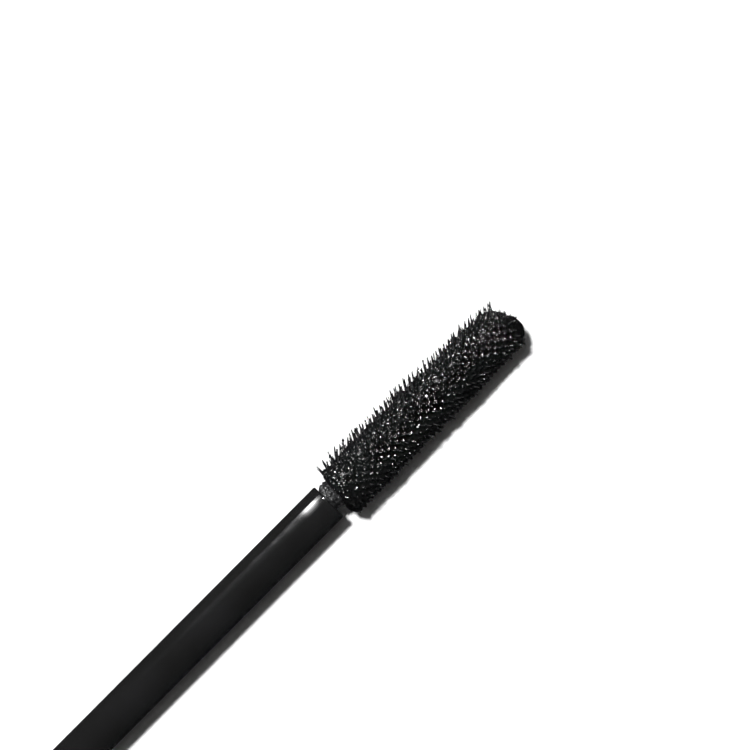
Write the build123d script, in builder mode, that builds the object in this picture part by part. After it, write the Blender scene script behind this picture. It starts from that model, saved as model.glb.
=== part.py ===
"""A mascara: a bottle with a threaded neck and wiper, and a cap that carries a rod and a moulded brush.

The pieces share one axis, which lies level along +X. At rest the applicator is drawn right out of the
bottle and both lie on their flats: cap to the left, brush in the middle, bottle to the right. The origin
is under the middle of the whole length, on the surface that it lies on. Sizes are in millimetres.
"""
import os

from build123d import *

os.makedirs("parts", exist_ok=True)

# Driving dimensions: the outside
across_flats = 17.0
side_count = 12
cap_length = 52.0
body_length = 82.0
corner_radius = 1.4
end_edge_radius = 0.5

# Driving dimensions: the thread and the travel it sets
thread_pitch = 3.0
thread_starts = 2
thread_lead = thread_pitch * thread_starts
turns_to_withdraw = 22
travel = thread_lead * turns_to_withdraw
neck_length = 13.0

# Driving dimensions: the wand
rod_radius = 2.2
rod_exposed = 45.0
brush_neck_length = 1.3
brush_length = 26.6
brush_root_radius = 3.2
brush_tip_radius = 2.85
brush_core_radius = 1.7

# Fits
press_gap = 0.05
turning_gap = 0.15
face_gap = 0.1

# Where the pieces lie
axis_height = across_flats / 2
total_length = cap_length + travel + body_length
mouth_x = cap_length - total_length / 2
shoulder_x = mouth_x + travel
base_x = shoulder_x + body_length
shell_bore_radius = 7.3

# Stations along the applicator, from the mouth of the cap; the brush is on the plus side
rod_end = rod_exposed
brush_start = rod_end + brush_neck_length
brush_tip = brush_start + brush_length
core_tip_inset = 1.6
core_tip = brush_tip - core_tip_inset
stem_length = 12.0
stem_start = rod_end - stem_length
stem_radius = 1.1
stem_clearance = 0.5
rod_bore_start = stem_start - stem_clearance
socket_end = -26.0
rod_head = socket_end + face_gap
liner_back = -39.0
liner_web_back = -29.0
weight_back = -49.0

# Neck and liner cavity
neck_root_radius = 5.35
neck_bore_radius = 4.4
ridge_height = 0.7
ridge_base = 1.3
ridge_crest = 0.6
ridge_root_bite = 0.15
wiper_flange = 0.7
neck_rim = -neck_length + wiper_flange
cavity_radius = 6.45
washer_thickness = 1.0
cavity_end = -neck_length - washer_thickness - 2 * face_gap

# Bottle
vial_radius = shell_bore_radius - press_gap
vial_inner_radius = 5.75
vial_end = 76.5
vial_floor_thickness = 1.2
vial_floor = vial_end - vial_floor_thickness
shoulder_thickness = 1.5
collar_length = 1.5
collar_gap = 0.15
collar_end = collar_gap + collar_length
fill_level = 14.0
channel_radius = 4.1
plug_flange = 1.2
plug_gap = 0.3
plug_start = vial_end + plug_gap
label_depth = 0.15
label_radius = 5.5

wand_axis = Axis((0, 0, axis_height), (1, 0, 0))


def axial_plane(station_x):
    """The plane of a half section: local x runs along the axis from station_x, local y is the radius."""
    return Plane(origin=(station_x, 0, axis_height), x_dir=(1, 0, 0), z_dir=(0, -1, 0))


def cross_plane(station_x):
    """The plane square to the axis at station_x: local x is +Y and local y is +Z."""
    return Plane(origin=(station_x, 0, axis_height), x_dir=(0, 1, 0), z_dir=(1, 0, 0))


def faceted_outline():
    """A regular outline with one flat underneath and softened corners, for the sketch in hand."""
    flat_turn = 180 / side_count
    outline = RegularPolygon(across_flats / 2, side_count, major_radius=False, rotation=flat_turn)
    fillet(outline.vertices(), corner_radius)


def thread_ridges(start_x, turns, root_radius, outward):
    """Two ridges of one right-handed helix, half a turn apart, standing out of or into a wall."""
    side = 1 if outward else -1
    with BuildPart() as ridges:
        with BuildLine() as path:
            Helix(
                pitch=thread_lead,
                height=thread_lead * turns,
                radius=root_radius - side * ridge_root_bite,
                center=(start_x, 0, axis_height),
                direction=(1, 0, 0),
            )
        start = path.line @ 0
        radial = Vector(0, start.Y, start.Z - axis_height).normalized() * side
        with BuildSketch(Plane(origin=start, x_dir=radial, z_dir=path.line % 0)):
            with BuildLine():
                Polyline(
                    (0, -ridge_base / 2),
                    (ridge_height + ridge_root_bite, -ridge_crest / 2),
                    (ridge_height + ridge_root_bite, ridge_crest / 2),
                    (0, ridge_base / 2),
                    close=True,
                )
            make_face()
        sweep(is_frenet=True)
        first_ridge = ridges.part
        add(first_ridge.rotate(wand_axis, 180))
    return ridges.part


def write(piece, label):
    """Labels a finished piece and writes it as its own STEP file."""
    piece.part.label = label
    export_step(piece.part, f"parts/{label}.step")


# Cap shell: a faceted cup with a shallow seat in its closed end
weight_room = 0.4
shell_floor = weight_back - weight_room
seat_depth = 0.7
seat_radius = 6.0

with BuildPart() as cap_shell:
    with BuildSketch(cross_plane(mouth_x - cap_length)):
        faceted_outline()
    extrude(amount=cap_length)
    end_faces = cap_shell.faces().sort_by(Axis.X)
    fillet([*end_faces[0].edges(), *end_faces[-1].edges()], end_edge_radius)
    with BuildSketch(cross_plane(mouth_x)):
        Circle(shell_bore_radius)
    extrude(amount=shell_floor, mode=Mode.SUBTRACT)
    with BuildSketch(cross_plane(mouth_x - cap_length)):
        Circle(seat_radius)
    extrude(amount=seat_depth, mode=Mode.SUBTRACT)
write(cap_shell, "cap_shell")

# Cap end disc: inlaid just below the cap's end face
disc_sink = 0.1

with BuildPart() as cap_end_disc:
    with BuildSketch(cross_plane(mouth_x - cap_length + disc_sink)):
        Circle(seat_radius - press_gap)
    extrude(amount=seat_depth - disc_sink)
    chamfer(cap_end_disc.edges().group_by(Axis.X)[0], disc_sink)
write(cap_end_disc, "cap_end_disc")

# Cap weight: a slug held between the liner's skirt and the end of the shell
weight_chamfer = 0.4

with BuildPart() as cap_weight:
    with BuildSketch(cross_plane(mouth_x + weight_back)):
        Circle(shell_bore_radius - turning_gap)
    extrude(amount=liner_back - weight_back - face_gap)
    chamfer(cap_weight.edges(), weight_chamfer)
write(cap_weight, "cap_weight")

# Inner cap: cavity with the thread in front, rod socket behind it, hollow skirt at the back
liner_mouth = -0.3
liner_radius = shell_bore_radius - press_gap
skirt_inner_radius = 6.2
internal_start = -11.2
internal_turns = 1.5
socket_radius = rod_radius + press_gap / 2

with BuildPart() as inner_cap:
    with BuildSketch(axial_plane(mouth_x)):
        with BuildLine():
            Polyline(
                (liner_mouth, cavity_radius),
                (liner_mouth, liner_radius),
                (liner_back, liner_radius),
                (liner_back, skirt_inner_radius),
                (liner_web_back, skirt_inner_radius),
                (liner_web_back, 0),
                (socket_end, 0),
                (socket_end, socket_radius),
                (cavity_end, socket_radius),
                (cavity_end, cavity_radius),
                close=True,
            )
        make_face()
    revolve(axis=wand_axis)
    add(thread_ridges(mouth_x + internal_start, internal_turns, cavity_radius, outward=False))
write(inner_cap, "inner_cap")

# Seal washer: loose on the rod at the bottom of the cavity
with BuildPart() as seal_washer:
    with BuildSketch(cross_plane(mouth_x + cavity_end + face_gap)):
        Circle(cavity_radius - turning_gap)
        Circle(rod_radius + turning_gap, mode=Mode.SUBTRACT)
    extrude(amount=washer_thickness)
write(seal_washer, "seal_washer")

# Rod: plain cylinder with a rounded free end and a bore for the brush's stem
rod_edge_radius = 0.2

with BuildPart() as rod:
    with BuildSketch(cross_plane(mouth_x + rod_head)):
        Circle(rod_radius)
    extrude(amount=rod_end - rod_head)
    fillet(rod.edges().group_by(Axis.X)[-1], rod_edge_radius)
    with BuildSketch(cross_plane(mouth_x + rod_bore_start)):
        Circle(stem_radius + press_gap / 2)
    extrude(amount=rod_end - rod_bore_start, mode=Mode.SUBTRACT)
write(rod, "rod")

# Brush core: stem in the rod, short bare neck, and the bar that carries the bristles
with BuildPart() as brush_core:
    with BuildSketch(axial_plane(mouth_x)):
        with BuildLine():
            Polyline(
                (core_tip - brush_core_radius, brush_core_radius),
                (brush_start, brush_core_radius),
                (brush_start, stem_radius),
                (stem_start, stem_radius),
                (stem_start, 0),
                (core_tip, 0),
            )
            RadiusArc(
                (core_tip, 0),
                (core_tip - brush_core_radius, brush_core_radius),
                -brush_core_radius,
            )
        make_face()
    revolve(axis=wand_axis)
write(brush_core, "brush_core")

# Bristle sleeve: the outer shape of all the bristle tips, closed over the core's end
sleeve_inner_radius = brush_core_radius + press_gap / 2
sleeve_flare = 0.35
tip_round = 2.1

with BuildPart() as bristle_sleeve:
    with BuildSketch(axial_plane(mouth_x)):
        with BuildLine():
            Polyline(
                (brush_tip, 0),
                (brush_tip, brush_tip_radius - tip_round),
                (brush_tip - tip_round, brush_tip_radius),
                (brush_start + sleeve_flare, brush_root_radius),
                (brush_start, brush_root_radius - sleeve_flare),
                (brush_start, sleeve_inner_radius),
                (core_tip - brush_core_radius, sleeve_inner_radius),
            )
            RadiusArc(
                (core_tip - brush_core_radius, sleeve_inner_radius),
                (core_tip + press_gap / 2, 0),
                sleeve_inner_radius,
            )
            Line((core_tip + press_gap / 2, 0), (brush_tip, 0))
        make_face()
    revolve(axis=wand_axis)
write(bristle_sleeve, "bristle_sleeve")

# Brush product: the ring of mascara that gathers round the bare neck of the brush
clump_inner_radius = stem_radius + press_gap / 2
clump_radius = 2.3
clump_gap = 0.05
clump_chamfer = 0.4

with BuildPart() as brush_product:
    with BuildSketch(axial_plane(mouth_x)):
        with BuildLine():
            Polyline(
                (rod_end + clump_gap, clump_inner_radius),
                (rod_end + clump_gap, clump_radius - clump_chamfer),
                (rod_end + clump_gap + clump_chamfer, clump_radius),
                (brush_start - clump_gap, clump_radius),
                (brush_start - clump_gap, clump_inner_radius),
                close=True,
            )
        make_face()
    revolve(axis=wand_axis)
write(brush_product, "brush_product")

# Vial: bottle with a threaded neck, its shoulder level with the collar ring
external_start = internal_start + thread_pitch / 2
external_turns = 1.25

with BuildPart() as vial:
    with BuildSketch(axial_plane(shoulder_x)):
        with BuildLine():
            Polyline(
                (neck_rim, neck_bore_radius),
                (neck_rim, neck_root_radius),
                (collar_gap, neck_root_radius),
                (collar_gap, vial_radius),
                (vial_end, vial_radius),
                (vial_end, 0),
                (vial_floor, 0),
                (vial_floor, vial_inner_radius),
                (collar_gap + shoulder_thickness, vial_inner_radius),
                (collar_gap + shoulder_thickness, neck_bore_radius),
                close=True,
            )
        make_face()
    revolve(axis=wand_axis)
    add(thread_ridges(shoulder_x + external_start, external_turns, neck_root_radius, outward=True))
write(vial, "vial")

# Wiper: flange on the rim, barrel in the neck, and a cone that narrows to the wiping lip
wiper_outer_radius = neck_bore_radius - press_gap
wiper_bore_radius = 3.85
wiper_wall = wiper_outer_radius - wiper_bore_radius
lip_radius = rod_radius + press_gap
lip_station = -0.5
cone_start = -3.5
lip_length = 0.4

with BuildPart() as wiper:
    with BuildSketch(axial_plane(shoulder_x)):
        with BuildLine():
            Polyline(
                (-neck_length, wiper_bore_radius),
                (-neck_length, neck_root_radius - press_gap),
                (neck_rim, neck_root_radius - press_gap),
                (neck_rim, wiper_outer_radius),
                (cone_start, wiper_outer_radius),
                (lip_station, lip_radius + wiper_wall),
                (lip_station, lip_radius),
                (lip_station - lip_length, lip_radius),
                (cone_start - lip_length, wiper_bore_radius),
                close=True,
            )
        make_face()
    revolve(axis=wand_axis)
write(wiper, "wiper")

# Mascara in the bottle, with the well that the brush leaves in it
bulk_radius = vial_inner_radius - press_gap
well_bottom_thickness = 0.8
well_floor = vial_floor - well_bottom_thickness

with BuildPart() as mascara_bulk:
    with BuildSketch(axial_plane(shoulder_x)):
        with BuildLine():
            Polyline(
                (fill_level, channel_radius),
                (fill_level, bulk_radius),
                (vial_floor - press_gap, bulk_radius),
                (vial_floor - press_gap, 0),
                (well_floor, 0),
                (well_floor, channel_radius),
                close=True,
            )
        make_face()
    revolve(axis=wand_axis)
write(mascara_bulk, "mascara_bulk")

# Collar ring: the trim ring that the cap closes down to
with BuildPart() as collar_ring:
    with BuildSketch(cross_plane(shoulder_x + collar_gap)):
        faceted_outline()
        Circle(shell_bore_radius, mode=Mode.SUBTRACT)
    extrude(amount=collar_length)
write(collar_ring, "collar_ring")

# Outer sleeve: faceted tube from the collar ring to the plug's flange
with BuildPart() as outer_sleeve:
    with BuildSketch(cross_plane(shoulder_x + collar_end)):
        faceted_outline()
        Circle(shell_bore_radius, mode=Mode.SUBTRACT)
    extrude(amount=body_length - plug_flange - collar_end)
write(outer_sleeve, "outer_sleeve")

# Base plug: flange flush with the sleeve, spigot inside it, hollow core, and a seat for the label
plug_hollow_radius = 5.6

with BuildPart() as base_plug:
    with BuildSketch(cross_plane(base_x - plug_flange)):
        faceted_outline()
    extrude(amount=plug_flange)
    fillet(base_plug.faces().sort_by(Axis.X)[-1].edges(), end_edge_radius)
    with BuildSketch(cross_plane(shoulder_x + plug_start)):
        Circle(shell_bore_radius - press_gap)
        Circle(plug_hollow_radius, mode=Mode.SUBTRACT)
    extrude(amount=body_length - plug_flange - plug_start)
    with BuildSketch(cross_plane(base_x)):
        Circle(label_radius + press_gap)
    extrude(amount=-label_depth, mode=Mode.SUBTRACT)
write(base_plug, "base_plug")

# Shade label: blank sticker that sits in the plug's seat
label_thickness = 0.1

with BuildPart() as shade_label:
    with BuildSketch(cross_plane(base_x - label_depth)):
        Circle(label_radius)
    extrude(amount=label_thickness)
write(shade_label, "shade_label")
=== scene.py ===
"""Looks of the mascara: the wand with its wet moulded brush, drawn out of its bottle, on a white table."""
import math

import bpy
import numpy as np
from mathutils import Matrix, Vector


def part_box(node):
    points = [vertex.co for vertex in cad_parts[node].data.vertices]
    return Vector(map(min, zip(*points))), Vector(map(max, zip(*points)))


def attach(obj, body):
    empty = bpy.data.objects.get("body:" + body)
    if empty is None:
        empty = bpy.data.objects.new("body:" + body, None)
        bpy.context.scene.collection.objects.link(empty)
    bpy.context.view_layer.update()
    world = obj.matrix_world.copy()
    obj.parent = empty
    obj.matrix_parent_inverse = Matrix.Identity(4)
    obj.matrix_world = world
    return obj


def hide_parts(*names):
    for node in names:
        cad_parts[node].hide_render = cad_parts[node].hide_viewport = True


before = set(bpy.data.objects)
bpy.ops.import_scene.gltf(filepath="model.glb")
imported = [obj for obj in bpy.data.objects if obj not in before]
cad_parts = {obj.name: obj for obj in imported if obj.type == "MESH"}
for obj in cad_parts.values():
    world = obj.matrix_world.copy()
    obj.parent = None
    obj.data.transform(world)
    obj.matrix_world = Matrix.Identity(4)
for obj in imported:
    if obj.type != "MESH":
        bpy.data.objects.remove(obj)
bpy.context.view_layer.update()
MM = 0.001
rng = np.random.default_rng(11)

# ---------------------------------------------------------------------------------------------------------
# Places and sizes, from the frame
# ---------------------------------------------------------------------------------------------------------
rod_low, rod_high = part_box("rod")
brush_low, brush_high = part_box("bristle_sleeve")
AXIS_Z = (rod_low.z + rod_high.z) / 2
ROD_RADIUS = (rod_high.y - rod_low.y) / 2
ROD_START = rod_low.x
ROD_END = rod_high.x
BRUSH_START = brush_low.x
BRUSH_TIP = brush_high.x
BRUSH_LENGTH = BRUSH_TIP - BRUSH_START

# ---------------------------------------------------------------------------------------------------------
# Mesh helpers
# ---------------------------------------------------------------------------------------------------------


def new_piece(name, points, faces, smooth=True):
    """A mesh object from an array of points and a list of faces."""
    mesh = bpy.data.meshes.new(name)
    mesh.from_pydata(np.asarray(points, float).tolist(), [], faces)
    mesh.validate()
    mesh.polygons.foreach_set("use_smooth", [smooth] * len(mesh.polygons))
    piece = bpy.data.objects.new(name, mesh)
    bpy.context.scene.collection.objects.link(piece)
    return piece


def grid_faces(rows, columns, offset=0, wrap=True):
    """Quads of a grid of points, row by row, whose columns close on themselves."""
    faces = []
    last = columns if wrap else columns - 1
    for i in range(rows - 1):
        for j in range(last):
            k = (j + 1) % columns
            a = offset + i * columns
            faces.append((a + j, a + k, a + columns + k, a + columns + j))
    return faces


def closed_faces(rows, columns, offset=0):
    """Faces of a tube of points that starts and ends with a flat face."""
    faces = grid_faces(rows, columns, offset)
    last = offset + (rows - 1) * columns
    faces.append(tuple(offset + j for j in reversed(range(columns))))
    faces.append(tuple(last + j for j in range(columns)))
    return faces


def on_axis(x, radius, angle):
    """Points round the common axis: angle 0 is +Y, a quarter turn is +Z."""
    return np.stack([x, radius * np.cos(angle), AXIS_Z + radius * np.sin(angle)], axis=-1)


def lathe(name, profile, segments=128):
    """A turned piece from a profile of (x, radius) points that starts and ends on the axis or closes."""
    stations = np.array(profile, float)
    angles = np.linspace(0, 2 * math.pi, segments, endpoint=False)
    x = np.repeat(stations[:, :1], segments, axis=1)
    radius = np.repeat(stations[:, 1:], segments, axis=1)
    points = on_axis(x, radius, np.broadcast_to(angles, x.shape)).reshape(-1, 3)
    faces = grid_faces(len(stations), segments)
    faces.append(tuple(range(segments)))
    last = (len(stations) - 1) * segments
    faces.append(tuple(last + j for j in reversed(range(segments))))
    return new_piece(name, points, faces)


def rounded_corner(x, radius, size, steps=8):
    """Profile points round an outer edge at (x, radius), from the side to the end face."""
    turn = np.linspace(0, math.pi / 2, steps)
    return [(x - size + size * math.sin(a), radius - size + size * math.cos(a)) for a in turn]


def tubes(paths, radii, across, sides=7):
    """Closed tapered tubes along many paths at once. paths is (n, k, 3), radii (n, k), across (n, 3)."""
    n, k, _ = paths.shape
    along = np.gradient(paths, axis=1)
    along /= np.linalg.norm(along, axis=2, keepdims=True)
    first = across[:, None, :] - (across[:, None, :] * along).sum(2, keepdims=True) * along
    first /= np.linalg.norm(first, axis=2, keepdims=True)
    second = np.cross(along, first)
    turn = np.linspace(0, 2 * math.pi, sides, endpoint=False)
    ring = (
        first[:, :, None, :] * np.cos(turn)[None, None, :, None]
        + second[:, :, None, :] * np.sin(turn)[None, None, :, None]
    )
    points = paths[:, :, None, :] + ring * radii[:, :, None, None]
    points = points.reshape(n * k * sides, 3)
    faces = []
    for i in range(n):
        faces.extend(closed_faces(k, sides, i * k * sides))
    return points, faces


def smooth_noise(size, cells, generator):
    """Smooth noise from -1 to 1 on a grid of (rows, columns) points. Its columns wrap round."""
    rows, columns = size
    knots = generator.uniform(-1, 1, (cells[0] + 3, cells[1]))
    v = np.linspace(0, cells[0], rows)
    u = np.linspace(0, cells[1], columns, endpoint=False)
    vi, ui = np.floor(v).astype(int), np.floor(u).astype(int)
    vf, uf = v - vi, u - ui
    vf, uf = vf * vf * (3 - 2 * vf), uf * uf * (3 - 2 * uf)
    right = (ui + 1) % cells[1]
    low = knots[vi][:, ui] * (1 - uf) + knots[vi][:, right] * uf
    high = knots[vi + 1][:, ui] * (1 - uf) + knots[vi + 1][:, right] * uf
    return low * (1 - vf)[:, None] + high * vf[:, None]


# ---------------------------------------------------------------------------------------------------------
# Materials
# ---------------------------------------------------------------------------------------------------------


class Material:
    """A principled material with a few helpers for its nodes."""

    def __init__(self, name, **sockets):
        self.data = bpy.data.materials.new(name)
        self.data.use_nodes = True
        self.tree = self.data.node_tree
        self.shader = self.tree.nodes["Principled BSDF"]
        for socket, value in sockets.items():
            self.shader.inputs[socket.replace("_", " ")].default_value = value
        self.place = self.node("ShaderNodeTexCoord").outputs["Object"]

    def node(self, kind, **settings):
        made = self.tree.nodes.new(kind)
        for key, value in settings.items():
            setattr(made, key, value)
        return made

    def link(self, source, target):
        self.tree.links.new(source, target)

    def stretched(self, scale):
        """The object's coordinates, scaled by axis."""
        mapping = self.node("ShaderNodeMapping")
        mapping.inputs["Scale"].default_value = scale
        self.link(self.place, mapping.inputs["Vector"])
        return mapping.outputs["Vector"]

    def noise(self, scale, detail=4.0, rough=0.55, where=None):
        """A noise value at this many cells per metre."""
        made = self.node("ShaderNodeTexNoise")
        made.inputs["Scale"].default_value = scale
        made.inputs["Detail"].default_value = detail
        made.inputs["Roughness"].default_value = rough
        self.link(where or self.place, made.inputs["Vector"])
        return made.outputs["Fac"]

    def spread(self, value, low, high, start=0.3, stop=0.7):
        """A value moved from start..stop to low..high."""
        made = self.node("ShaderNodeMapRange", clamp=True)
        for key, number in (("From Min", start), ("From Max", stop), ("To Min", low), ("To Max", high)):
            made.inputs[key].default_value = number
        self.link(value, made.inputs["Value"])
        return made.outputs["Result"]

    def tint(self, value, dark, light, start=0.3, stop=0.7):
        """The base colour runs from dark to light with the value."""
        ramp = self.node("ShaderNodeValToRGB")
        ramp.color_ramp.elements[0].position = start
        ramp.color_ramp.elements[1].position = stop
        ramp.color_ramp.elements[0].color = (*dark, 1)
        ramp.color_ramp.elements[1].color = (*light, 1)
        self.link(value, ramp.inputs["Fac"])
        self.link(ramp.outputs["Color"], self.shader.inputs["Base Color"])

    def rough(self, value, low, high, start=0.3, stop=0.7):
        self.link(self.spread(value, low, high, start, stop), self.shader.inputs["Roughness"])

    def bump(self, value, distance, strength=1.0):
        made = self.node("ShaderNodeBump")
        made.inputs["Distance"].default_value = distance
        made.inputs["Strength"].default_value = strength
        self.link(value, made.inputs["Height"])
        self.link(made.outputs["Normal"], self.shader.inputs["Normal"])


def gloss_plastic(name, shade=0.010, roughness=(0.10, 0.125)):
    """Moulded gloss black: faint flow waves, and a little haze where it has been handled."""
    made = Material(name, IOR=1.49)
    made.tint(made.noise(160, 3), (shade * 0.8,) * 3, (shade * 1.2, shade * 1.2, shade * 1.25))
    made.rough(made.noise(1400, 5), *roughness)
    made.bump(made.noise(60, 2), 0.000008)
    return made.data


def matte_plastic(name, shade, grain=5200):
    """Moulded plastic with a fine spark-eroded grain."""
    made = Material(name, IOR=1.49)
    made.tint(made.noise(300, 4), tuple(0.85 * c for c in shade), tuple(1.1 * c for c in shade))
    made.rough(made.noise(900, 4), 0.32, 0.48)
    made.bump(made.noise(grain, 2), 0.000012)
    return made.data


def wet_mascara(name):
    """Thick wet cream: black, glossy where it beads, duller where it has been dragged thin."""
    made = Material(name, IOR=1.40)
    made.tint(made.noise(2600, 3), (0.0025, 0.0025, 0.0026), (0.006, 0.006, 0.0062))
    made.rough(made.noise(1500, 4), 0.06, 0.11, 0.36, 0.62)
    made.bump(made.noise(3000, 3), 0.000012)
    return made.data


def coated_bristle(name):
    """Soft black bristles under a thin coat of mascara, greyer where the coat is thin."""
    made = Material(name, IOR=1.48)
    made.tint(made.noise(1500, 4), (0.004, 0.004, 0.0042), (0.021, 0.021, 0.0215), 0.36, 0.64)
    made.rough(made.noise(1900, 3), 0.07, 0.13, 0.36, 0.62)
    made.bump(made.noise(3600, 3), 0.000015)
    return made.data


def dry_mascara(name):
    """Mascara that has begun to dry to a crust: dark grey and crumbly."""
    made = Material(name, IOR=1.48)
    made.tint(made.noise(2600, 4), (0.006, 0.006, 0.0065), (0.032, 0.032, 0.033), 0.38, 0.62)
    made.rough(made.noise(2200, 4), 0.16, 0.6, 0.36, 0.62)
    made.bump(made.noise(4200, 4), 0.00009)
    return made.data


def wet_drop(name):
    """Beads of mascara: black and very glossy."""
    made = Material(name, IOR=1.8)
    made.tint(made.noise(2600, 3), (0.0035, 0.0035, 0.0038), (0.008, 0.008, 0.0085))
    made.rough(made.noise(3000, 2), 0.05, 0.12)
    made.bump(made.noise(2400, 2), 0.00002)
    return made.data


def anodised(name, shade):
    """Spun aluminium, anodised: fine turning lines round the axis."""
    made = Material(name, Metallic=1.0)
    lines = made.noise(1.0, 3, 0.6, made.stretched((22000, 120, 120)))
    made.tint(lines, tuple(c * 0.86 for c in shade), shade)
    made.rough(lines, 0.2, 0.34)
    made.bump(lines, 0.000004)
    return made.data


def elastomer(name):
    """Pale rubbery insert, stained by the product towards its lip."""
    made = Material(name, IOR=1.45)
    made.shader.inputs["Subsurface Weight"].default_value = 0.15
    made.shader.inputs["Subsurface Radius"].default_value = (0.001, 0.001, 0.0009)
    made.tint(made.noise(900, 5, 0.6), (0.02, 0.02, 0.02), (0.42, 0.42, 0.41), 0.40, 0.56)
    made.rough(made.noise(1200, 3), 0.3, 0.55)
    made.bump(made.noise(2500, 3), 0.00002)
    return made.data


def foam(name):
    """Closed-cell foam washer."""
    made = Material(name)
    pores = made.node("ShaderNodeTexVoronoi")
    pores.inputs["Scale"].default_value = 5200
    made.link(made.place, pores.inputs["Vector"])
    made.tint(pores.outputs["Distance"], (0.45, 0.45, 0.44), (0.72, 0.72, 0.71), 0.0, 0.6)
    made.rough(made.noise(900), 0.6, 0.8)
    made.bump(pores.outputs["Distance"], 0.00004)
    return made.data


def paper(name):
    """Satin sticker stock."""
    made = Material(name)
    made.tint(made.noise(2200, 5), (0.62, 0.62, 0.60), (0.72, 0.72, 0.70))
    made.rough(made.noise(1600, 3), 0.42, 0.55)
    made.bump(made.noise(6000, 3), 0.000006)
    return made.data


def table_white(name):
    """Plain white table."""
    made = Material(name)
    made.tint(made.noise(60, 3), (0.86, 0.86, 0.86), (0.88, 0.88, 0.88))
    made.rough(made.noise(200, 3), 0.7, 0.8)
    made.shader.inputs["Specular IOR Level"].default_value = 0.0
    return made.data


SHELL_GLOSS = gloss_plastic("shell_gloss", 0.012)
ROD_GLOSS = gloss_plastic("rod_gloss", 0.009, (0.075, 0.11))
MASCARA = wet_mascara("mascara_wet")
CRUST = dry_mascara("mascara_dry")
BRISTLE = coated_bristle("bristle_coated")
DROPS = wet_drop("mascara_drops")
METAL = anodised("trim_metal", (0.66, 0.66, 0.68))
STEEL = anodised("weight_steel", (0.52, 0.52, 0.54))
VIAL_BLACK = matte_plastic("vial_black", (0.016, 0.016, 0.017))
LINER_BLACK = matte_plastic("liner_black", (0.035, 0.035, 0.037))
CORE_BLACK = matte_plastic("brush_black", (0.012, 0.012, 0.013))
WIPER_RUBBER = elastomer("wiper_rubber")
WASHER_FOAM = foam("washer_foam")
LABEL_PAPER = paper("label_paper")
TABLE_WHITE = table_white("table_white")


def dress(piece, material):
    """Gives a piece one material."""
    piece.data.materials.clear()
    piece.data.materials.append(material)


# ---------------------------------------------------------------------------------------------------------
# CAD pieces whose shape stays
# ---------------------------------------------------------------------------------------------------------
CAD_FINISH = {
    "cap_shell": SHELL_GLOSS,
    "cap_end_disc": METAL,
    "cap_weight": STEEL,
    "inner_cap": LINER_BLACK,
    "seal_washer": WASHER_FOAM,
    "brush_core": CORE_BLACK,
    "vial": VIAL_BLACK,
    "wiper": WIPER_RUBBER,
    "mascara_bulk": MASCARA,
    "outer_sleeve": SHELL_GLOSS,
    "collar_ring": METAL,
    "base_plug": SHELL_GLOSS,
    "shade_label": LABEL_PAPER,
}
for node_name, finish in CAD_FINISH.items():
    dress(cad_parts[node_name], finish)

# ---------------------------------------------------------------------------------------------------------
# Rod
# ---------------------------------------------------------------------------------------------------------
ROD_EDGE = 0.2 * MM
ROD_BORE = 1.3 * MM


def build_rod():
    """The rod's visible skin: one smooth turned surface with a rounded end."""
    side = np.linspace(ROD_START + 1 * MM, ROD_END - ROD_EDGE, 24)[:-1]
    profile = [(ROD_START, 0.2 * MM), (ROD_START, ROD_RADIUS)]
    profile += [(x, ROD_RADIUS) for x in side]
    profile += rounded_corner(ROD_END, ROD_RADIUS, ROD_EDGE)
    profile += [(ROD_END, ROD_BORE)]
    rod = lathe("rod_skin", profile)
    dress(rod, ROD_GLOSS)
    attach(rod, "applicator")
    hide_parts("rod")


build_rod()

# ---------------------------------------------------------------------------------------------------------
# Brush: staggered rings of soft bristles that lean towards the tip, loaded with mascara
# ---------------------------------------------------------------------------------------------------------
FIRST_RING = 0.35 * MM
RING_PITCH = 0.583 * MM
PER_RING = 19
SLEEVE_RADIUS = 1.85 * MM
BRISTLE_FOOT = SLEEVE_RADIUS * 0.9
FILM_RADIUS = 2.5 * MM
TIP_DOME = 1.5 * MM
RING_COUNT = int((BRUSH_LENGTH - TIP_DOME) / RING_PITCH)


def upper_share(angle):
    """1 on the side that carries loose bristles, 0 on the side where they are matted down with product."""
    return 0.5 + 0.5 * np.cos(angle - 0.35)


def tip_cut(x, angle):
    """0 along the brush, rising to 1 at the very end on the upper side, where the coat is worn rounder."""
    return upper_share(angle) * np.clip((x - (BRUSH_TIP - 3.2 * MM)) / (2.6 * MM), 0, 1) ** 2


def reach(x, angle):
    """How far from the axis the bristles reach at a place along the brush: less where the end is worn."""
    share = (x - BRUSH_START) / BRUSH_LENGTH
    worn_end = np.clip((share - 0.5) / 0.3, 0, 1)
    loose = 3.60 - 0.12 * share - 0.34 * worn_end
    matted = 3.2 - 0.36 * share
    return (matted + (loose - matted) * upper_share(angle) - 1.0 * tip_cut(x, angle)) * MM


def film_radius(x, angle):
    """Mean radius of the mascara between the bristles: it lies thickest on the matted side, near the root."""
    share = np.clip((x - BRUSH_START) / BRUSH_LENGTH, 0, 1)
    return FILM_RADIUS + (1 - upper_share(angle)) * (0.38 - 0.32 * share) * MM


def bristle_roots():
    """Place along the axis and angle of every bristle, ring by ring, each ring turned half a step."""
    rings = np.arange(RING_COUNT)
    steps = np.arange(PER_RING)
    ring, step = np.meshgrid(rings, steps, indexing="ij")
    x = BRUSH_START + FIRST_RING + ring * RING_PITCH
    angle = (step + 0.5 * (ring % 2)) * 2 * math.pi / PER_RING
    return x.ravel(), angle.ravel(), ring.ravel()


ROOT_X, ROOT_ANGLE, ROOT_RING = bristle_roots()


def lean_of(angle):
    """How far a bristle's tip lies ahead of its root: more on the side that was dragged last."""
    return (0.72 + 0.22 * np.cos(angle - 0.5)) * MM


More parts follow.
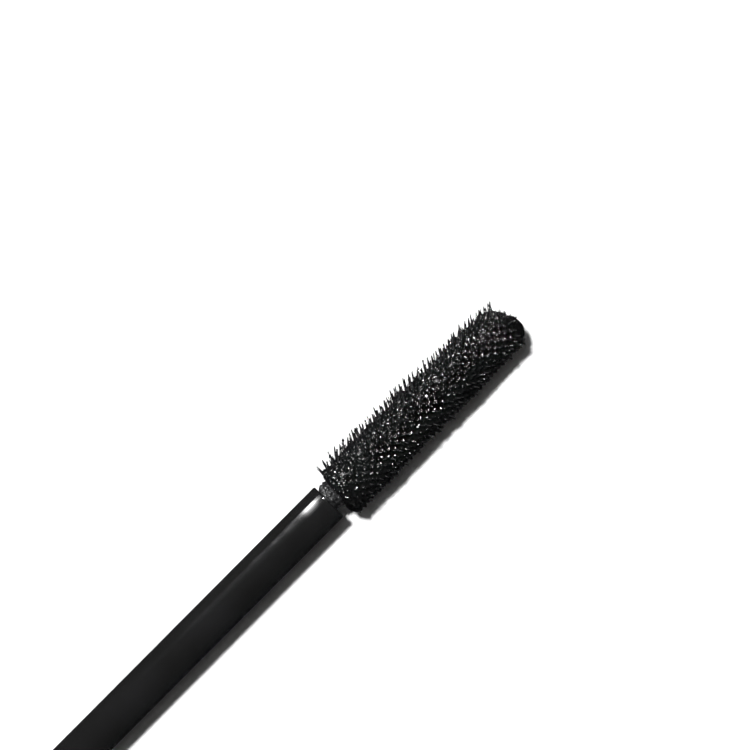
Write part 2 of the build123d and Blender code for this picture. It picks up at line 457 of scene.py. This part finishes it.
def bristle_paths(x, angle, height, lean, sway, stations):
    """Curved centrelines from the sleeve outwards: (n, k, 3)."""
    u = stations[None, :]
    radius = BRISTLE_FOOT + (height[:, None] - BRISTLE_FOOT) * u
    along = x[:, None] + lean[:, None] * (0.45 * u + 0.55 * u * u)
    turned = angle[:, None] + sway[:, None] * u * u
    return on_axis(along, radius, turned)


BRISTLE_STATIONS = np.array([0.0, 0.25, 0.45, 0.62, 0.78, 0.88, 0.94, 0.98, 1.0])
BRISTLE_THICKNESS = np.array([0.20, 0.19, 0.17, 0.14, 0.105, 0.08, 0.07, 0.055, 0.025])


def square_to(angle):
    """Unit vectors round the axis, square to the radius at each angle."""
    return np.stack([np.zeros_like(angle), -np.sin(angle), np.cos(angle)], axis=-1)


def bristle_shapes():
    """Height, lean and sideways sway of every bristle. Neighbours are drawn together into clumps."""
    n = len(ROOT_X)
    near_root = np.clip((ROOT_X - BRUSH_START) / (2.2 * MM), 0, 1)
    pull_along = smooth_noise((RING_COUNT, PER_RING), (15, 8), rng).ravel()
    pull_round = smooth_noise((RING_COUNT, PER_RING), (13, 7), rng).ravel()
    worn = smooth_noise((RING_COUNT, PER_RING), (20, 9), rng).ravel()
    height = reach(ROOT_X, ROOT_ANGLE) + (rng.normal(0, 0.13, n) + 0.14 * worn) * MM
    lean = lean_of(ROOT_ANGLE) * (0.25 + 0.75 * near_root)
    lean += (0.30 * pull_along + rng.normal(0, 0.09, n)) * MM
    sway = 0.13 * pull_round + rng.normal(0, 0.04, n)
    return height, lean, sway


HEIGHT, LEAN, SWAY = bristle_shapes()


def build_bristles():
    """All the bristles of the rings, as closed tapered hairs."""
    n = len(ROOT_X)
    radii = BRISTLE_THICKNESS[None, :] * rng.uniform(0.8, 1.15, (n, 1)) * MM
    paths = bristle_paths(ROOT_X, ROOT_ANGLE, HEIGHT, LEAN, SWAY, BRISTLE_STATIONS)
    return tubes(paths, radii, square_to(ROOT_ANGLE))


def dome_bristles():
    """Bristles that fan out over the rounded end."""
    rows = [(0.38, 17), (0.72, 14), (1.08, 10), (1.38, 5)]
    centre = BRUSH_TIP - TIP_DOME - 0.55 * MM
    foot = SLEEVE_RADIUS * 0.6
    top = 2.62 * MM
    x, angle, tilt = [], [], []
    for slope, count in rows:
        for step in range(count):
            x.append(centre)
            angle.append((step + rng.uniform(-0.2, 0.2)) * 2 * math.pi / count + slope * 3)
            tilt.append(slope + rng.uniform(-0.08, 0.08))
    x, angle, tilt = map(np.array, (x, angle, tilt))
    stations = np.linspace(0, 1, 7)
    out = foot + (top - foot) * stations[None, :]
    length_scale = (rng.uniform(0.92, 1.03, len(x)) * (1 - 0.15 * upper_share(angle)))[:, None]
    radial = out * np.cos(tilt)[:, None] * length_scale
    along = x[:, None] + out * np.sin(tilt)[:, None] * length_scale * 0.84
    paths = on_axis(along, radial, np.broadcast_to(angle[:, None], radial.shape))
    radii = np.array([0.2, 0.2, 0.17, 0.14, 0.1, 0.08, 0.03])[None, :] * MM
    radii = radii * rng.uniform(0.85, 1.2, (len(x), 1))
    return tubes(paths, radii, square_to(angle))


def merged(name, parts):
    """One piece from several lots of points and faces."""
    points, faces, offset = [], [], 0
    for some_points, some_faces in parts:
        points.append(some_points)
        faces.extend(tuple(i + offset for i in face) for face in some_faces)
        offset += len(some_points)
    return new_piece(name, np.concatenate(points), faces)


bristles = merged("bristles", [build_bristles(), dome_bristles()])
dress(bristles, BRISTLE)
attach(bristles, "applicator")
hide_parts("bristle_sleeve")


def film_profile():
    """The film's mean profile from the neck over the root face, along the brush and round the end."""
    corner = 0.3 * MM
    start = BRUSH_START + 0.05 * MM
    end = BRUSH_TIP - 0.14 * MM
    round_end = 1.5 * MM
    points = [(start, 1.15 * MM), (start + 0.02 * MM, FILM_RADIUS - corner), (start + corner, FILM_RADIUS)]
    points += [(x, FILM_RADIUS) for x in np.linspace(start + corner, end - round_end, 40)[1:]]
    for turn in np.linspace(0, math.pi / 2, 12)[1:]:
        radius = FILM_RADIUS - round_end + round_end * math.cos(turn)
        points.append((end - round_end + round_end * math.sin(turn), radius))
    points.append((end, 0.02 * MM))
    return np.array(points)


def evenly(points, step):
    """The polyline through points, resampled at an even step."""
    lengths = np.concatenate([[0], np.cumsum(np.linalg.norm(np.diff(points, axis=0), axis=1))])
    at = np.linspace(0, lengths[-1], int(lengths[-1] / step))
    return np.stack([np.interp(at, lengths, points[:, k]) for k in (0, 1)], axis=1)


def near_bristle(x, angle):
    """How close each point is to a bristle where it leaves the film: 1 on its line, 0 well away."""
    low = ROOT_X.min()
    best = np.zeros_like(x)
    shift = lean_of(angle) * 0.34
    nearest = np.round((x - shift - low) / RING_PITCH)
    for offset in (-1, 0, 1):
        ring = np.clip(nearest + offset, 0, RING_COUNT - 1)
        step = 2 * math.pi / PER_RING
        half = 0.5 * (ring % 2)
        turned = np.round(angle / step - half) + half
        across = (angle - turned * step) * FILM_RADIUS
        along = 0.62 * (x - shift - (low + ring * RING_PITCH))
        gap = np.hypot(across, along)
        best = np.maximum(best, np.exp(-((gap / (0.15 * MM)) ** 2)))
    return best


def build_film():
    """Mascara between the bristles: a lumpy skin that climbs each bristle."""
    profile = evenly(film_profile(), 0.09 * MM)
    columns = 176
    rows = len(profile)
    angles = np.linspace(0, 2 * math.pi, columns, endpoint=False)
    x = np.repeat(profile[:, :1], columns, axis=1)
    radius = np.repeat(profile[:, 1:], columns, axis=1)
    angle = np.broadcast_to(angles, x.shape)
    along = np.gradient(profile, axis=0)
    along /= np.linalg.norm(along, axis=1, keepdims=True)
    normal_x, normal_r = -along[:, 1:2], along[:, :1]
    lump = 0.12 * smooth_noise((rows, columns), (26, 14), rng)
    lump += 0.05 * smooth_noise((rows, columns), (50, 28), rng)
    thick = (film_radius(x, angle) - FILM_RADIUS) / MM
    climb = 0.36 - 0.12 * upper_share(angle)
    rise = (climb * near_bristle(x, angle) + lump + thick - 0.8 * tip_cut(x, angle)) * MM
    fade = np.clip(np.arange(rows) / 6, 0, 1) * np.clip((rows - 1 - np.arange(rows)) / 8, 0, 1)
    rise = rise * fade[:, None]
    radius = np.maximum(radius + normal_r * rise, 0.01 * MM)
    points = on_axis(x + normal_x * rise, radius, angle).reshape(-1, 3)
    return points, closed_faces(rows, columns)


def between(values, one, other, share):
    """The value part of the way from one bristle's to the other's, as an array of one."""
    return np.array([(1 - share) * values[one] + share * values[other]])


def build_webs():
    """Product that has pulled neighbouring bristles together: short strands that bridge each chosen pair."""
    strands = 4
    chosen = rng.random(len(ROOT_X)) < 0.16
    stations = np.array([0.3, 0.55, 0.75, 0.9, 1.0])
    paths, radii, across = [], [], []
    for k in np.flatnonzero(chosen):
        side = rng.choice((-1, 1))
        partner = k + PER_RING if side > 0 else k + PER_RING - 1 + (ROOT_RING[k] % 2)
        if partner >= len(ROOT_X):
            continue
        turn = ROOT_ANGLE[partner] - ROOT_ANGLE[k]
        turn = (turn + math.pi) % (2 * math.pi) - math.pi
        if abs(turn) > 3 * math.pi / PER_RING:
            continue
        top = rng.uniform(0.62, 0.9)
        for share in (np.arange(strands) + 0.7) / (strands + 0.4):
            sag = 1 - 0.42 * math.sin(math.pi * share)
            height = between(HEIGHT, k, partner, share) - SLEEVE_RADIUS
            height = SLEEVE_RADIUS + height * top * sag
            path = bristle_paths(
                between(ROOT_X, k, partner, share),
                np.array([ROOT_ANGLE[k] + share * turn]),
                height,
                between(LEAN, k, partner, share) * top,
                between(SWAY, k, partner, share),
                stations,
            )
            paths.append(path[0])
            radii.append(np.array([0.13, 0.12, 0.10, 0.08, 0.03]) * MM * rng.uniform(0.8, 1.2))
            across.append(square_to(np.array([ROOT_ANGLE[k]]))[0])
    return tubes(np.array(paths), np.array(radii), np.array(across), sides=5)


def bead(radius, stretch, rings, sides):
    """A small drop along +X about the origin: its points, ready to be turned and moved."""
    turn = np.linspace(0.08, math.pi - 0.08, rings)
    spin = np.linspace(0, 2 * math.pi, sides, endpoint=False)
    x = -np.cos(turn)[:, None] * radius * stretch * np.ones(sides)[None, :]
    r = np.sin(turn)[:, None] * radius * np.ones(sides)[None, :]
    return np.stack([x, r * np.cos(spin), r * np.sin(spin)], axis=-1).reshape(-1, 3)


def build_drops():
    """Beads of wet product near the tips of the bristles, most of them on the upper +Y side."""
    rings, sides = 6, 8
    lots = []
    middle = 1.0
    likely = 0.14 + 0.28 * (0.5 + 0.5 * np.cos(ROOT_ANGLE - middle)) ** 7
    for k in np.flatnonzero(rng.random(len(ROOT_X)) < likely):
        u = rng.uniform(0.7, 0.99)
        stations = np.array([u - 0.05, u])
        one = slice(k, k + 1)
        path = bristle_paths(ROOT_X[one], ROOT_ANGLE[one], HEIGHT[one], LEAN[one], SWAY[one], stations)[0]
        along = Vector(path[1] - path[0]).normalized()
        turn = np.array(along.to_track_quat("X", "Z").to_matrix())
        size = rng.uniform(0.07, 0.17) * MM
        points = bead(size, rng.uniform(1.0, 1.5), rings, sides) @ turn.T + path[1]
        lots.append((points, closed_faces(rings, sides)))
    return lots


def build_neck_clump():
    """The ring of mascara at the bare neck, thicker on the upper side."""
    rows, columns = 44, 120
    start = ROD_END - 0.05 * MM
    end = BRUSH_START + 0.25 * MM
    turn = np.linspace(0, math.pi, rows)
    angles = np.linspace(0, 2 * math.pi, columns, endpoint=False)
    base = 0.98 * MM
    belly = (0.42 + 0.46 * np.cos(angles - 0.7)) * MM
    lump = 0.17 * smooth_noise((rows, columns), (5, 11), rng)
    lump += 0.14 * smooth_noise((rows, columns), (12, 30), rng)
    lump += 0.08 * smooth_noise((rows, columns), (24, 64), rng)
    swell = np.sin(turn)[:, None] ** 0.4
    radius = base + (belly[None, :] + lump * MM) * swell
    x = (start + end) / 2 - (end - start) / 2 * np.cos(turn)
    x = np.repeat(x[:, None], columns, axis=1)
    points = on_axis(x, radius, np.broadcast_to(angles, x.shape)).reshape(-1, 3)
    return points, closed_faces(rows, columns)


product = merged("brush_mascara", [build_film(), build_webs()])
dress(product, MASCARA)
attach(product, "applicator")
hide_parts("brush_product")

crust = merged("neck_mascara", [build_neck_clump()])
dress(crust, CRUST)
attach(crust, "applicator")

drops = merged("brush_drops", build_drops())
dress(drops, DROPS)
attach(drops, "applicator")

# ---------------------------------------------------------------------------------------------------------
# Table, light and camera
# ---------------------------------------------------------------------------------------------------------


def build_table():
    """A plain white table top under everything."""
    half = 6.0
    points = [(-half, -half, 0), (half, -half, 0), (half, half, 0), (-half, half, 0)]
    table = new_piece("table_top", points, [(0, 1, 2, 3)], smooth=False)
    dress(table, TABLE_WHITE)
    table.visible_glossy = False


def aim(thing, target):
    """Points a light at a place."""
    thing.rotation_euler = (Vector(target) - thing.location).to_track_quat("-Z", "Y").to_euler()


def build_suns():
    """The main light, almost overhead and a little to the +Y side, and a wider fill."""
    tilt = math.radians(9.4)
    for name, energy, angle in (("main_light", 4.18, 3.0), ("fill_light", 0.34, 18.0)):
        data = bpy.data.lights.new(name, "SUN")
        data.energy = energy
        data.angle = math.radians(angle)
        lamp = bpy.data.objects.new(name, data)
        lamp.location = (0, math.sin(tilt), math.cos(tilt))
        aim(lamp, (0, 0, 0))
        lamp.visible_glossy = False
        bpy.context.scene.collection.objects.link(lamp)


def reflected_panel(name, size, place, target, brightness):
    """A panel of even brightness that shows only in glossy reflections."""
    data = bpy.data.lights.new(name, "AREA")
    data.shape = "RECTANGLE"
    data.size, data.size_y = size
    data.energy = brightness * math.pi * size[0] * size[1]
    lamp = bpy.data.objects.new(name, data)
    lamp.location = place
    aim(lamp, target)
    lamp.visible_diffuse = False
    lamp.visible_camera = False
    bpy.context.scene.collection.objects.link(lamp)


def build_side_panel():
    """A softbox beside the wand in bands that fade upwards; it begins just before the end of the rod."""
    distance = 0.35
    length = 22 * MM
    bands = [
        ((20, 31), 36.0, -5),
        ((31, 40), 46.0, -3),
        ((40, 50), 17.0, -3),
        ((50, 60), 6.5, -3),
        ((60, 70), 1.8, -3),
    ]
    for number, (heights, brightness, before) in enumerate(bands):
        low, high = (math.radians(a) for a in heights)
        middle = (low + high) / 2
        start = ROD_END + before * MM
        size = (length, 2 * distance * math.tan((high - low) / 2))
        x = start + length / 2
        place = (x, distance * math.cos(middle), AXIS_Z + distance * math.sin(middle))
        reflected_panel(f"side_panel_{number}", size, place, (x, 0, AXIS_Z), brightness)


def build_glints():
    """Small bright lamps beyond each end of the wand, for the sparkle on wet beads."""
    centre = Vector((BRUSH_START + BRUSH_LENGTH / 2, 0, AXIS_Z))
    lamps = [((0.30, 0.20, 0.24), 0.045, 1200), ((-0.32, 0.12, 0.26), 0.045, 400)]
    for number, (offset, size, brightness) in enumerate(lamps):
        reflected_panel(f"glint_lamp_{number}", (size, size), centre + Vector(offset), centre, brightness)


def build_world():
    """White behind everything. In reflections it is dim, brighter towards +Y, so that black keeps form."""
    world = bpy.data.worlds.new("studio")
    bpy.context.scene.world = world
    world.use_nodes = True
    tree = world.node_tree
    background = tree.nodes["Background"]
    background.inputs["Color"].default_value = (1, 1, 1, 1)
    place = tree.nodes.new("ShaderNodeTexCoord")
    side = tree.nodes.new("ShaderNodeVectorMath")
    side.operation = "DOT_PRODUCT"
    side.inputs[1].default_value = (0.0, 0.85, 0.35)
    spread = tree.nodes.new("ShaderNodeMapRange")
    for key, number in (("From Min", -0.4), ("From Max", 0.9), ("To Min", 0.004), ("To Max", 0.09)):
        spread.inputs[key].default_value = number
    path = tree.nodes.new("ShaderNodeLightPath")
    soft = tree.nodes.new("ShaderNodeMix")
    soft.inputs["B"].default_value = 0.03
    seen = tree.nodes.new("ShaderNodeMix")
    seen.inputs["B"].default_value = 1.0
    tree.links.new(place.outputs["Generated"], side.inputs[0])
    tree.links.new(side.outputs["Value"], spread.inputs["Value"])
    tree.links.new(path.outputs["Is Diffuse Ray"], soft.inputs["Factor"])
    tree.links.new(spread.outputs["Result"], soft.inputs["A"])
    tree.links.new(path.outputs["Is Camera Ray"], seen.inputs["Factor"])
    tree.links.new(soft.outputs["Result"], seen.inputs["A"])
    tree.links.new(seen.outputs["Result"], background.inputs["Strength"])


def build_camera():
    """Straight down over the brush, turned so that the wand runs up to the right."""
    lens, sensor, width = 300.0, 36.0, 79.5 * MM
    slope = math.radians(45.15)
    centre = Vector((BRUSH_TIP - 14.94 * MM, 6.0 * MM, AXIS_Z))
    right = Vector((math.cos(slope), -math.sin(slope), 0))
    up = Vector((math.sin(slope), math.cos(slope), 0))
    data = bpy.data.cameras.new("camera")
    data.lens, data.sensor_width = lens, sensor
    data.clip_start, data.clip_end = 0.05, 20
    camera = bpy.data.objects.new("camera", data)
    turn = Matrix((right, up, (0, 0, 1))).transposed().to_4x4()
    camera.matrix_world = Matrix.Translation(centre + Vector((0, 0, width * lens / sensor))) @ turn
    bpy.context.scene.collection.objects.link(camera)
    bpy.context.scene.camera = camera


build_table()
build_suns()
build_side_panel()
build_glints()
build_world()
build_camera()
bpy.context.scene.view_settings.view_transform = "Standard"
